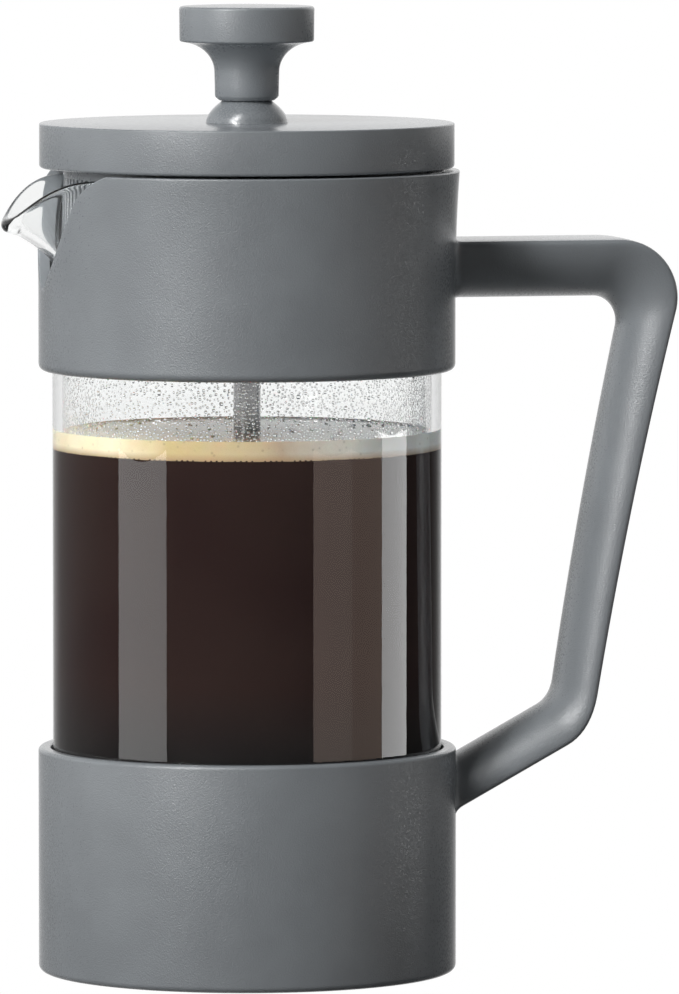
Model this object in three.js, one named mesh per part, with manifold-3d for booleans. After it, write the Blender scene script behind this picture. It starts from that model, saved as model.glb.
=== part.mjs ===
// French press for three cups (0.35 litre): a moulded frame, a glass beaker, a lid and a plunger.
// Millimetres, +Z up. The origin is on the beaker's axis, at the underside of the base.
// The spout points along -X and the handle along +X.

import * as THREE from "three";
import { mergeVertices } from "three/addons/utils/BufferGeometryUtils.js";
import Module from "manifold-3d";

const wasm = await Module();
wasm.setup();

// ---------------------------------------------------------------- driving dimensions

const GAP = 0.3; // between pieces that touch

const BEAKER_R = 36; // outside of the glass
const GLASS_WALL = 1.8;
const BEAKER_BOTTOM = 12.5;
const BEAKER_RIM = 147.5;
const BEAKER_BORE = BEAKER_R - GLASS_WALL;
const FRAME_BORE = BEAKER_R + 0.35; // inside of the collar and of the base

const BASE_R = 38.7;
const BASE_TOP = 41.7;
const BASE_FLOOR = 3;

const COLLAR_R = 38.55;
const COLLAR_BOTTOM = 111.5;
const COLLAR_TOP = 148.5;
const COLLAR_FLARE = 0.8; // how much wider the collar is at its top
const NOTCH_BOTTOM = 127; // lowest point of the spout's notch

const HANDLE_HALF_WIDTH = 10;
const HANDLE_EDGE = 0.8; // rounding of the outer face's edges
const HANDLE_ROOT = 34; // inside the collar and the base, where the handle's ends are cut off

const LID_R = 38.36;
const LID_BOTTOM = 148.95;
const LID_TOP = 157.2;
const LID_WALL = 2;
const SKIRT_R = 33.95;
const SKIRT_WALL = 1.6;
const SKIRT_BOTTOM = 133.5;

const ROD_R = 2.5;
const RUNNING_FIT = 0.15; // radial clearance of the rod in its guide
const ROD_HOLE_R = ROD_R + GAP; // in the pieces that are fixed to the rod
const ROD_BOTTOM = 21.5;
const ROD_TOP = 172.3;
const GUIDE_STEM_R = 4.9;
const GUIDE_STEM_BOTTOM = 146.8;
const GUIDE_TOP = 161;

const KNOB_BOTTOM = GUIDE_TOP + GAP;
const KNOB_TOP = 179;
const KNOB_R = 12.5;
const NECK_R = 5.9;

const FILTER_R = 33.9; // outside of the filter's edge spring
const FILTER_Z = 29.4; // middle of the edge spring
const SPRING_COIL_R = 1.3;
const FLANGE_BOTTOM = FILTER_Z + 2.1; // the filter's stack, from the rod's flange down to the nut
const TOP_PLATE_BOTTOM = FILTER_Z + 0.9;
const SCREEN_BOTTOM = FILTER_Z - 2;
const CROSS_PLATE_BOTTOM = FILTER_Z - 3.5;
const NUT_BOTTOM = FILTER_Z - 7.1;

const COARSE = 20; // segments round a small piece
const MEDIUM = 40;
const FINE = 60; // segments round the beaker and the frame

// ---------------------------------------------------------------- materials

const material = (color, roughness, metalness = 0, extra = {}) =>
  new THREE.MeshStandardMaterial({ color, roughness, metalness, ...extra });

const greyPlastic = () => material(0x868b90, 0.55);
const glossGrey = () => material(0x7b8085, 0.25);
const steel = () => material(0xb9bcc0, 0.25, 1);
const wovenSteel = () => material(0x9a9da1, 0.45, 1);
const brass = () => material(0xb89a5a, 0.35, 1);
const glass = () => material(0xeef4f6, 0.03, 0, { transparent: true, opacity: 0.3 });

// ---------------------------------------------------------------- shape helpers

// Rounds the corners of an outline. Each corner is [x, y] or [x, y, radius].
function rounded(corners, steps = 3) {
  const points = [];
  corners.forEach(([x, y, radius = 0], i) => {
    const corner = new THREE.Vector2(x, y);
    if (radius === 0) {
      points.push(corner);
      return;
    }
    const before = new THREE.Vector2(...corners[(i + corners.length - 1) % corners.length]);
    const after = new THREE.Vector2(...corners[(i + 1) % corners.length]);
    const toBefore = before.sub(corner).normalize();
    const toAfter = after.sub(corner).normalize();
    const halfAngle = Math.acos(toBefore.dot(toAfter)) / 2;
    const reach = radius / Math.tan(halfAngle);
    const start = corner.clone().addScaledVector(toBefore, reach);
    const end = corner.clone().addScaledVector(toAfter, reach);
    const middle = toBefore.clone().add(toAfter).normalize();
    const centre = corner.clone().addScaledVector(middle, radius / Math.sin(halfAngle));
    const from = start.clone().sub(centre).angle();
    let turn = end.clone().sub(centre).angle() - from;
    if (turn > Math.PI) turn -= 2 * Math.PI;
    if (turn < -Math.PI) turn += 2 * Math.PI;
    for (let step = 0; step <= steps; step += 1) {
      const angle = from + (turn * step) / steps;
      points.push(new THREE.Vector2(Math.cos(angle), Math.sin(angle)).multiplyScalar(radius).add(centre));
    }
  });
  return points;
}

// Turns [radius, height] points round the Z axis. The profile runs upwards on its outer side.
function turned(points, segments) {
  const geometry = new THREE.LatheGeometry(points, segments);
  geometry.rotateX(Math.PI / 2);
  return geometry;
}

// A ring or tube: the profile closes on itself.
function ring(corners, segments, steps) {
  const points = rounded(corners, steps);
  points.push(points[0].clone());
  return turned(points, segments);
}

// A plain round band with square edges.
function band(inner, outer, bottom, top) {
  return ring(
    [
      [inner, bottom],
      [outer, bottom],
      [outer, top],
      [inner, top],
    ],
    COARSE,
  );
}

// Points on a circle, or on the arc between two angles.
function arcPoints(r, segments, from = 0, to = 2 * Math.PI, x = 0, y = 0) {
  const points = [];
  const whole = to - from === 2 * Math.PI;
  for (let i = 0; i < segments + (whole ? 0 : 1); i += 1) {
    const angle = from + ((to - from) * i) / segments;
    points.push(new THREE.Vector2(x + r * Math.cos(angle), y + r * Math.sin(angle)));
  }
  return points;
}

// A flat outline with holes, each a list of points, raised from bottom by height.
function plate(outline, holes, bottom, height) {
  const shape = new THREE.Shape(outline);
  shape.holes = holes.map((points) => new THREE.Path(points));
  const geometry = new THREE.ExtrudeGeometry(shape, { depth: height, bevelEnabled: false });
  geometry.translate(0, 0, bottom);
  return geometry;
}

function solidFrom(geometry) {
  const bare = geometry.clone();
  for (const name of Object.keys(bare.attributes)) {
    if (name !== "position") bare.deleteAttribute(name);
  }
  const merged = mergeVertices(bare, 1e-3);
  const mesh = new wasm.Mesh({
    numProp: 3,
    vertProperties: merged.attributes.position.array,
    triVerts: new Uint32Array(merged.index.array),
  });
  return new wasm.Manifold(mesh);
}

function geometryFrom(solid) {
  const mesh = solid.getMesh();
  const geometry = new THREE.BufferGeometry();
  geometry.setAttribute("position", new THREE.BufferAttribute(new Float32Array(mesh.vertProperties), 3));
  geometry.setIndex(new THREE.BufferAttribute(new Uint32Array(mesh.triVerts), 1));
  return geometry;
}

const cut = (geometry, cutters) =>
  geometryFrom(cutters.reduce((solid, cutter) => solid.subtract(solidFrom(cutter)), solidFrom(geometry)));

const joined = (geometries) =>
  geometryFrom(geometries.map(solidFrom).reduce((whole, part) => whole.add(part)));

const press = new THREE.Group();

function add(name, geometry, look) {
  geometry.computeVertexNormals();
  const mesh = new THREE.Mesh(geometry, look);
  mesh.name = name;
  press.add(mesh);
}

// ---------------------------------------------------------------- frame: base, collar and handle

// The glass stands on six ribs inside the base cup.
function baseCup() {
  const cup = turned(
    rounded([
      [0, 0],
      [BASE_R, 0, 1.2],
      [BASE_R, BASE_TOP, 0.8],
      [FRAME_BORE, BASE_TOP, 0.5],
      [FRAME_BORE, BASE_FLOOR, 2],
      [0, BASE_FLOOR],
    ]),
    FINE,
  );
  const ribs = [];
  const ribCount = 6;
  for (let i = 0; i < ribCount; i += 1) {
    const inner = 12;
    const outer = FRAME_BORE + 0.5;
    const top = BEAKER_BOTTOM - GAP;
    const rib = new THREE.BoxGeometry(outer - inner, 2, top - BASE_FLOOR + 1);
    rib.translate((inner + outer) / 2, 0, (top + BASE_FLOOR - 1) / 2);
    rib.rotateZ(((i + 0.5) * 2 * Math.PI) / ribCount);
    ribs.push(rib);
  }
  return joined([cup, ...ribs]);
}

// Half the notch's width at a height above its lowest point: a V that flares at the top.
function notchHalfWidth(height) {
  const flareFrom = 14;
  const flare = height > flareFrom ? 5.6 * ((height - flareFrom) / 8) ** 3 : 0;
  return 2.05 * height ** 0.72 + flare;
}

function notchCutter() {
  const top = COLLAR_TOP + 1;
  const steps = 11;
  const side = [];
  for (let i = 1; i <= steps; i += 1) {
    const height = ((top - NOTCH_BOTTOM) * i) / steps;
    side.push([notchHalfWidth(height), NOTCH_BOTTOM + height]);
  }
  const shape = new THREE.Shape([
    new THREE.Vector2(0, NOTCH_BOTTOM),
    ...side.map(([y, z]) => new THREE.Vector2(y, z)),
    ...side.reverse().map(([y, z]) => new THREE.Vector2(-y, z)),
  ]);
  const geometry = new THREE.ExtrudeGeometry(shape, { depth: 30, bevelEnabled: false });
  // The outline's X becomes Y, its Y becomes Z, and its depth becomes X.
  geometry.applyMatrix4(new THREE.Matrix4().set(0, 0, 1, -50, 1, 0, 0, 0, 0, 1, 0, 0, 0, 0, 0, 1));
  return geometry;
}

function collar() {
  const flareFrom = 124;
  const flareSteps = 5;
  const flare = [];
  for (let i = 0; i <= flareSteps; i += 1) {
    const share = i / flareSteps;
    const z = flareFrom + (COLLAR_TOP - 0.4 - flareFrom) * share;
    flare.push([COLLAR_R + COLLAR_FLARE * share ** 2.3, z]);
  }
  const profile = [
    [FRAME_BORE, COLLAR_BOTTOM, 0.5],
    [COLLAR_R, COLLAR_BOTTOM, 0.8],
    ...flare,
    [COLLAR_R + COLLAR_FLARE - 0.4, COLLAR_TOP],
    [FRAME_BORE, COLLAR_TOP],
  ];
  return cut(ring(profile, FINE), [notchCutter()]);
}

const bend = (from, control, to, steps) => {
  const corners = [from, control, to].map(([x, z]) => new THREE.Vector2(x, z));
  return new THREE.QuadraticBezierCurve(...corners).getPoints(steps).slice(1);
};

// The handle's two edges in the XZ plane, from the collar out, down and back to the base. They have the
// same number of points, and each pair of points is a place for a section.
function handleEdges() {
  const cornerEnd = -0.19; // the angle at which the upper corner runs into the grip
  const cornerSteps = 7;
  const gripSteps = 7;
  const footSteps = 3;
  const outer = [
    new THREE.Vector2(HANDLE_ROOT, 135.2),
    ...arcPoints(10.8, cornerSteps, Math.PI / 2, cornerEnd, 69.05, 124.4),
    ...bend([79.65, 122.3], [70.8, 87.1], [64.6, 50.3], gripSteps),
    ...bend([64.6, 50.3], [63.3, 43.6], [58.8, 41.2], footSteps),
    new THREE.Vector2(HANDLE_ROOT, 27.8),
  ];
  const inner = [
    new THREE.Vector2(HANDLE_ROOT, 124.4),
    ...arcPoints(5, cornerSteps, Math.PI / 2, cornerEnd, 65.7, 119.4),
    ...bend([70.6, 118.4], [63.5, 84.6], [58.8, 52.6], gripSteps),
    ...bend([58.8, 52.6], [58.3, 49.6], [55.9, 48.2], footSteps),
    new THREE.Vector2(HANDLE_ROOT, 36.2),
  ];
  return [inner, outer];
}

// The handle's section between two points of its edges: a wide flat outer face, and an arched inner one
// for the fingers. Gives points in the order outer face, front side, crest, back side.
function handleSection(inner, outer) {
  const thickness = inner.distanceTo(outer);
  const archSteps = 5;
  const front = [[thickness, HANDLE_HALF_WIDTH - HANDLE_EDGE]];
  for (let i = archSteps; i > 0; i -= 1) {
    const angle = (Math.PI / 2) * (i / archSteps);
    const depth = (thickness - HANDLE_EDGE) * (1 - Math.cos(angle) ** 1.25);
    front.push([depth, HANDLE_HALF_WIDTH * Math.sin(angle) ** 0.87]);
  }
  const back = front.map(([depth, y]) => [depth, -y]).reverse();
  const outward = outer.clone().sub(inner).divideScalar(thickness);
  return [...front, [0, 0], ...back].map(([depth, y]) => {
    const point = inner.clone().addScaledVector(outward, depth);
    return [point.x, -y, point.y];
  });
}

// A closed bar through sections that have the same number of points.
function lofted(sections) {
  const count = sections[0].length;
  const last = (sections.length - 1) * count;
  const index = [];
  for (let i = 0; i < last; i += count) {
    for (let j = 0; j < count; j += 1) {
      const next = (j + 1) % count;
      index.push(i + j, i + next, i + count + j);
      index.push(i + next, i + count + next, i + count + j);
    }
  }
  for (let j = 1; j < count - 1; j += 1) {
    index.push(0, j + 1, j);
    index.push(last, last + j, last + j + 1);
  }
  const geometry = new THREE.BufferGeometry();
  geometry.setAttribute("position", new THREE.Float32BufferAttribute(sections.flat(2), 3));
  geometry.setIndex(index);
  return geometry;
}

// A round block on the axis, used to cut the handle's ends to the wall that they meet.
const axisBlock = (r, bottom, top) =>
  turned(rounded([[0, bottom], [r, bottom], [r, top], [0, top]]), FINE);

function handle() {
  const [inner, outer] = handleEdges();
  const bar = lofted(inner.map((point, i) => handleSection(point, outer[i])));
  const collarRoot = axisBlock(COLLAR_R + COLLAR_FLARE / 2, COLLAR_BOTTOM, COLLAR_TOP);
  const baseRoot = axisBlock(BASE_R + GAP, BASE_FLOOR, BASE_TOP + 10);
  return cut(bar, [collarRoot, baseRoot]);
}

// ---------------------------------------------------------------- beaker

const SPOUT_REACH = 10.2; // how far the lip stands out from the wall
const SPOUT_DEPTH = 16.5; // from the rim down to where the spout leaves the wall
const SPOUT_HALF_WIDTH = 14;

// Draws the wall near -X outwards and downwards into the pouring spout.
function pullSpout(geometry) {
  const position = geometry.attributes.position;
  for (let i = 0; i < position.count; i += 1) {
    const x = position.getX(i);
    const y = position.getY(i);
    const z = position.getZ(i);
    const down = Math.max((BEAKER_RIM - z) / SPOUT_DEPTH, 0);
    const halfWidth = SPOUT_HALF_WIDTH * (1 - 0.55 * down);
    if (x > 0 || down >= 1 || Math.abs(y) >= halfWidth) continue;
    const across = Math.cos((Math.PI / 2) * (y / halfWidth)) ** 1.6;
    const atRim = SPOUT_REACH * across;
    const out = atRim * (1 - down) ** 1.5;
    const droop = ((0.92 * atRim ** 2) / (atRim + 1.7)) * (1 - down) ** 1.1;
    const isInside = Math.hypot(x, y) < BEAKER_R - 0.8 * GLASS_WALL;
    const share = isInside ? 0.88 : 1; // keeps the floor of the spout thick
    position.setXYZ(i, x - out, y, z - droop * share);
  }
}

function beaker() {
  const floorTop = BEAKER_BOTTOM + 2;
  const spoutRings = 7;
  const ringZ = (i) => BEAKER_RIM - 1 - ((SPOUT_DEPTH - 1) * i) / spoutRings;
  const outside = [];
  const inside = [];
  for (let i = 0; i <= spoutRings; i += 1) {
    outside.unshift([BEAKER_R, ringZ(i)]);
    inside.push([BEAKER_BORE, ringZ(i)]);
  }
  const geometry = turned(
    rounded([
      [0, BEAKER_BOTTOM],
      [BEAKER_R, BEAKER_BOTTOM, 4],
      ...outside,
      [BEAKER_R, BEAKER_RIM, 0.6],
      [BEAKER_BORE, BEAKER_RIM, 0.6],
      ...inside,
      [BEAKER_BORE, floorTop, 2.6],
      [0, floorTop],
    ]),
    FINE,
  );
  pullSpout(geometry);
  return geometry;
}

// ---------------------------------------------------------------- lid

function lidCap() {
  const hole = GUIDE_STEM_R + GAP;
  const ceiling = LID_TOP - 2.2;
  return ring(
    [
      [LID_R - LID_WALL, LID_BOTTOM],
      [LID_R, LID_BOTTOM, 0.6],
      [LID_R, LID_TOP, 0.3],
      [hole, LID_TOP],
      [hole, ceiling],
      [LID_R - LID_WALL, ceiling],
    ],
    MEDIUM,
    2,
  );
}

// The skirt that hangs in the beaker. Its slots face the spout and hold back the grounds.
function lidInsert() {
  const flangeBottom = LID_BOTTOM + GAP;
  const flangeTop = flangeBottom + 1.7;
  const bore = SKIRT_R - SKIRT_WALL;
  const stemHole = GUIDE_STEM_R + GAP;
  const body = ring(
    [
      [bore, SKIRT_BOTTOM],
      [SKIRT_R, SKIRT_BOTTOM],
      [SKIRT_R, flangeBottom],
      [LID_R - LID_WALL - GAP, flangeBottom],
      [LID_R - LID_WALL - GAP, flangeTop],
      [stemHole, flangeTop],
      [stemHole, flangeBottom],
      [bore, flangeBottom],
    ],
    FINE,
  );
  const slotPitch = 1.9;
  const slotCount = 22;
  const slotBottom = SKIRT_BOTTOM + 1.5;
  const slotTop = flangeBottom - 2;
  const slots = [];
  for (let i = 0; i < slotCount; i += 1) {
    const slot = new THREE.BoxGeometry(4, 0.9, slotTop - slotBottom);
    slot.translate(-(SKIRT_R - SKIRT_WALL / 2), 0, (slotTop + slotBottom) / 2);
    slot.rotateZ(((i - (slotCount - 1) / 2) * slotPitch) / SKIRT_R);
    slots.push(slot);
  }
  return cut(body, slots);
}

// The polished dome in the middle of the lid, with a stem that guides the rod.
function rodGuide() {
  const bore = ROD_R + RUNNING_FIT;
  const domeBottom = LID_TOP + GAP;
  const domeR = 7.6;
  const domeTopR = 5;
  const dome = [];
  const steps = 4;
  for (let i = 1; i <= steps; i += 1) {
    const angle = (Math.PI / 2) * (i / steps);
    const r = domeTopR - 0.6 + (domeR - domeTopR + 0.6) * Math.cos(angle);
    dome.push([r, domeBottom + (GUIDE_TOP - domeBottom) * Math.sin(angle)]);
  }
  return ring(
    [
      [bore, GUIDE_STEM_BOTTOM],
      [GUIDE_STEM_R, GUIDE_STEM_BOTTOM],
      [GUIDE_STEM_R, domeBottom],
      [domeR, domeBottom],
      ...dome,
      [bore, GUIDE_TOP],
    ],
    COARSE,
  );
}

// The push-on ring that holds the guide's stem under the lid.
function guideClip() {
  const inner = GUIDE_STEM_R + GAP;
  return band(inner, inner + 3, LID_BOTTOM - 1.2, LID_BOTTOM);
}

// ---------------------------------------------------------------- plunger

function knob() {
  const bore = 3.9;
  const boreTop = ROD_TOP + 2 * GAP;
  const discBottom = 172;
  const neckFillet = [];
  const steps = 4;
  for (let i = 0; i <= steps; i += 1) {
    const angle = (Math.PI / 2) * (i / steps);
    neckFillet.push([NECK_R + 0.1 + 4 * (1 - Math.cos(angle)), discBottom - 4.5 + 4 * Math.sin(angle)]);
  }
  const profile = rounded([
    [bore, boreTop],
    [bore, KNOB_BOTTOM],
    [NECK_R - 0.9, KNOB_BOTTOM],
    [NECK_R, KNOB_BOTTOM + 0.8],
    ...neckFillet,
    [KNOB_R, discBottom, 0.4],
    [KNOB_R, KNOB_TOP - 0.2, 0.5],
  ]);
  profile.unshift(new THREE.Vector2(0, boreTop));
  profile.push(new THREE.Vector2(0, KNOB_TOP));
  return turned(profile, MEDIUM);
}

// The threaded brass bush moulded into the knob.
const knobInsert = () => band(ROD_HOLE_R, ROD_HOLE_R + 0.8, KNOB_BOTTOM + 1.7, ROD_TOP);

function plungerRod() {
  const profile = rounded(
    [
      [0, ROD_BOTTOM],
      [ROD_R, ROD_BOTTOM, 0.5],
      [ROD_R, ROD_TOP, 0.5],
      [0, ROD_TOP],
    ],
    2,
  );
  return turned(profile, COARSE);
}

// The collar crimped on the rod, which the filter is screwed up against.
const rodFlange = () => band(ROD_HOLE_R, 7, FLANGE_BOTTOM, FLANGE_BOTTOM + 1.2);

const rodHole = () => arcPoints(ROD_HOLE_R, COARSE);

// The perforated steel plate that carries the edge spring.
function topPlate() {
  const outerR = FILTER_R - 2 * SPRING_COIL_R - GAP;
  const holeCount = 8;
  const holeR = 3.2;
  const holeCircleR = 19;
  const holes = [rodHole()];
  for (let i = 0; i < holeCount; i += 1) {
    const angle = (2 * Math.PI * i) / holeCount;
    const centre = [holeCircleR * Math.cos(angle), holeCircleR * Math.sin(angle)];
    holes.push(arcPoints(holeR, 12, 0, 2 * Math.PI, ...centre));
  }
  return plate(arcPoints(outerR, MEDIUM), holes, TOP_PLATE_BOTTOM, 0.9);
}

// The coil of fine wire that seals the filter against the glass, as the ring it fills.
function edgeSpring() {
  const geometry = new THREE.TorusGeometry(FILTER_R - SPRING_COIL_R, SPRING_COIL_R, 6, MEDIUM);
  geometry.translate(0, 0, FILTER_Z);
  return geometry;
}

const meshScreen = () => plate(arcPoints(FILTER_R - 0.5, MEDIUM), [rodHole()], SCREEN_BOTTOM, 0.35);

// The cross-shaped plate under the screen, with four large openings.
function crossPlate() {
  const openingInner = 9;
  const openingOuter = 28.5;
  const spokeHalfAngle = 0.16;
  const holes = [rodHole()];
  for (let i = 0; i < 4; i += 1) {
    const from = (i * Math.PI) / 2 + spokeHalfAngle;
    const to = ((i + 1) * Math.PI) / 2 - spokeHalfAngle;
    holes.push([
      ...arcPoints(openingOuter, 8, from, to),
      ...arcPoints(openingInner, 4, from, to).reverse(),
    ]);
  }
  return plate(arcPoints(32, MEDIUM), holes, CROSS_PLATE_BOTTOM, 1.2);
}

// The hexagonal nut that holds the filter on the rod's threaded end.
const hubNut = () => plate(arcPoints(5.2, 6), [rodHole()], NUT_BOTTOM, 3.3);

// ---------------------------------------------------------------- the press

add("base_cup", baseCup(), greyPlastic());
add("collar", collar(), greyPlastic());
add("handle", handle(), greyPlastic());
add("beaker", beaker(), glass());
add("lid_cap", lidCap(), greyPlastic());
add("lid_insert", lidInsert(), greyPlastic());
add("rod_guide", rodGuide(), glossGrey());
add("guide_clip", guideClip(), steel());
add("knob", knob(), greyPlastic());
add("knob_insert", knobInsert(), brass());
add("plunger_rod", plungerRod(), steel());
add("rod_flange", rodFlange(), steel());
add("top_plate", topPlate(), steel());
add("edge_spring", edgeSpring(), steel());
add("mesh_screen", meshScreen(), wovenSteel());
add("cross_plate", crossPlate(), steel());
add("hub_nut", hubNut(), steel());

export default press;
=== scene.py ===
"""A small french press, with coffee in its beaker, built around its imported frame.

Metres, +Z up. The beaker's axis is the Z axis, the spout points along -X and the handle along +X.
"""

import math
import random

import bmesh
import bpy
import numpy as np
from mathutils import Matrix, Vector


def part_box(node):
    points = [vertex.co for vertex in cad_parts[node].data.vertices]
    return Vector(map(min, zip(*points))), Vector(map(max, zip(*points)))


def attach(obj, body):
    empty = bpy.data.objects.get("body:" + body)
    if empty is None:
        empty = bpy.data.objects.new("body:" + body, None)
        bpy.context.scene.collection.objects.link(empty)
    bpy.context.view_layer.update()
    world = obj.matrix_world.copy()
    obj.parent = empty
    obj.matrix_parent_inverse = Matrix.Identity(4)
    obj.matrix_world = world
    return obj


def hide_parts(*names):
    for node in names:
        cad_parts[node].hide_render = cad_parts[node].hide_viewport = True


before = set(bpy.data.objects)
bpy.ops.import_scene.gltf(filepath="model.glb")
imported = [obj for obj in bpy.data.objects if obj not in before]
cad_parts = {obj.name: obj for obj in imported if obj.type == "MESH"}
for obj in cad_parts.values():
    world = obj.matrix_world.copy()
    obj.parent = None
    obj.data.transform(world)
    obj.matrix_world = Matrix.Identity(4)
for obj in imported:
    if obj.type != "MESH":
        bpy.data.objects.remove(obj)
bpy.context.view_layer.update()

MM = 0.001

# ---------------------------------------------------------------- sizes, from the frame


def heights(node):
    low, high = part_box(node)
    return low[2], high[2]


def half_width(node):
    low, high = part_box(node)
    return (high[1] - low[1]) / 2


BASE_R = half_width("base_cup")
BASE_TOP = heights("base_cup")[1]
BASE_FLOOR = 3 * MM
COLLAR_BOTTOM, COLLAR_TOP = heights("collar")
COLLAR_TOP_R = half_width("collar")
COLLAR_FLARE = 0.8 * MM
COLLAR_R = COLLAR_TOP_R - COLLAR_FLARE
GLASS_R = half_width("beaker")
GLASS_WALL = 1.8 * MM
GLASS_BORE = GLASS_R - GLASS_WALL
GLASS_BOTTOM, GLASS_RIM = heights("beaker")
FRAME_BORE = GLASS_R + 0.35 * MM
NOTCH_BOTTOM = GLASS_RIM - 20.5 * MM
HANDLE_HALF_WIDTH = half_width("handle")
LID_R = half_width("lid_cap")
LID_BOTTOM, LID_TOP = heights("lid_cap")
SKIRT_BOTTOM = heights("lid_insert")[0]
SKIRT_R = GLASS_BORE - 0.25 * MM
KNOB_R = half_width("knob")
KNOB_BOTTOM, KNOB_TOP = heights("knob")
ROD_R = half_width("plunger_rod")
ROD_BOTTOM, ROD_TOP = heights("plunger_rod")
FILTER_R = half_width("edge_spring")
SPRING_BOTTOM, SPRING_TOP = heights("edge_spring")
COFFEE_TOP = 97.1 * MM
CREMA_TOP = 100.3 * MM

# ---------------------------------------------------------------- outlines and shells
# A shell is (points, faces). A piece is made of one or more shells.


def rounded(corners, steps=5):
    """The outline through (x, y) or (x, y, fillet radius) corners."""
    points = []
    for i, corner in enumerate(corners):
        if len(corner) == 2:
            points.append(corner)
            continue
        x, y, radius = corner
        here = Vector((x, y))
        to_before = (Vector(corners[i - 1][:2]) - here).normalized()
        to_after = (Vector(corners[(i + 1) % len(corners)][:2]) - here).normalized()
        half = to_before.angle(to_after) / 2
        start = here + to_before * radius / math.tan(half)
        end = here + to_after * radius / math.tan(half)
        centre = here + (to_before + to_after).normalized() * radius / math.sin(half)
        first = math.atan2(*(start - centre).yx)
        turn = (math.atan2(*(end - centre).yx) - first + math.pi) % (2 * math.pi) - math.pi
        for step in range(steps + 1):
            angle = first + turn * step / steps
            points.append((centre.x + radius * math.cos(angle), centre.y + radius * math.sin(angle)))
    return points


def grid(points, loop_rows=False, loop_columns=True):
    """The shell over an array of points, shaped (rows, columns, 3)."""
    rows, columns = points.shape[:2]
    faces = []
    for i in range(rows if loop_rows else rows - 1):
        below = i * columns
        above = (i + 1) % rows * columns
        for j in range(columns if loop_columns else columns - 1):
            k = (j + 1) % columns
            faces.append((below + j, below + k, above + k, above + j))
    return points.reshape(-1, 3), faces


def turned(profile, segments=160, angles=None):
    """The shell of a (radius, height) profile turned round the Z axis."""
    if angles is None:
        angles = np.linspace(0, 2 * math.pi, segments, endpoint=False)
    profile = np.array(profile)
    points = np.empty((len(profile), len(angles), 3))
    points[:, :, 0] = np.outer(profile[:, 0], np.cos(angles))
    points[:, :, 1] = np.outer(profile[:, 0], np.sin(angles))
    points[:, :, 2] = profile[:, 1][:, None]
    return grid(points)


def turned_ring(profile, segments):
    """The shell of a profile that closes on itself, clear of the axis."""
    return turned([*profile, profile[0]], segments)


def sector(inner, outer, bottom, top, first, last, steps=2):
    """A block between two radii, two heights and two angles."""
    angles = np.linspace(first, last, steps + 1)
    section = np.array([(inner, bottom), (outer, bottom), (outer, top), (inner, top)])
    points = np.empty((len(angles), 4, 3))
    points[:, :, 0] = np.outer(np.cos(angles), section[:, 0])
    points[:, :, 1] = np.outer(np.sin(angles), section[:, 0])
    points[:, :, 2] = section[:, 1]
    flat, faces = grid(points)
    last_ring = len(flat) - 4
    faces += [(3, 2, 1, 0), tuple(last_ring + i for i in range(4))]
    return flat, faces


def swung(x, y, angle):
    """A point of the XY plane, turned about the Z axis."""
    return x * math.cos(angle) - y * math.sin(angle), x * math.sin(angle) + y * math.cos(angle)


def wire_loop(path, radius, sides):
    """A round wire along a closed path of points."""
    path = np.array(path)
    tangents = np.roll(path, -1, axis=0) - np.roll(path, 1, axis=0)
    tangents /= np.linalg.norm(tangents, axis=1)[:, None]
    across = np.cross(tangents, (0, 0, 1))
    across /= np.linalg.norm(across, axis=1)[:, None]
    up = np.cross(across, tangents)
    angles = np.linspace(0, 2 * math.pi, sides, endpoint=False)
    ring = across[:, None] * np.cos(angles)[None, :, None] + up[:, None] * np.sin(angles)[None, :, None]
    return grid(path[:, None] + radius * ring, loop_rows=True)


# ---------------------------------------------------------------- pieces


def piece(name, shells, material, body, replaces=(), sharp=35):
    """An object made of shells, which rides on a CAD body and may stand for CAD nodes."""
    mesh = bpy.data.meshes.new(name)
    build = bmesh.new()
    for points, faces in shells:
        corners = [build.verts.new(p) for p in points]
        for face in faces:
            build.faces.new([corners[i] for i in face])
    bmesh.ops.remove_doubles(build, verts=build.verts, dist=1e-7)
    bmesh.ops.dissolve_degenerate(build, edges=build.edges, dist=1e-8)
    bmesh.ops.recalc_face_normals(build, faces=build.faces)
    build.to_mesh(mesh)
    build.free()
    mesh.polygons.foreach_set("use_smooth", [True] * len(mesh.polygons))
    mesh.set_sharp_from_angle(angle=math.radians(sharp))
    mesh.materials.append(material)
    obj = bpy.data.objects.new(name, mesh)
    bpy.context.scene.collection.objects.link(obj)
    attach(obj, body)
    if replaces:
        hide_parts(*replaces)
    return obj


# ---------------------------------------------------------------- materials


def feed(tree, socket, source):
    """Links a socket to another, or sets it to a plain value."""
    if isinstance(source, bpy.types.NodeSocket):
        tree.links.new(source, socket)
    else:
        socket.default_value = source


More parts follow.
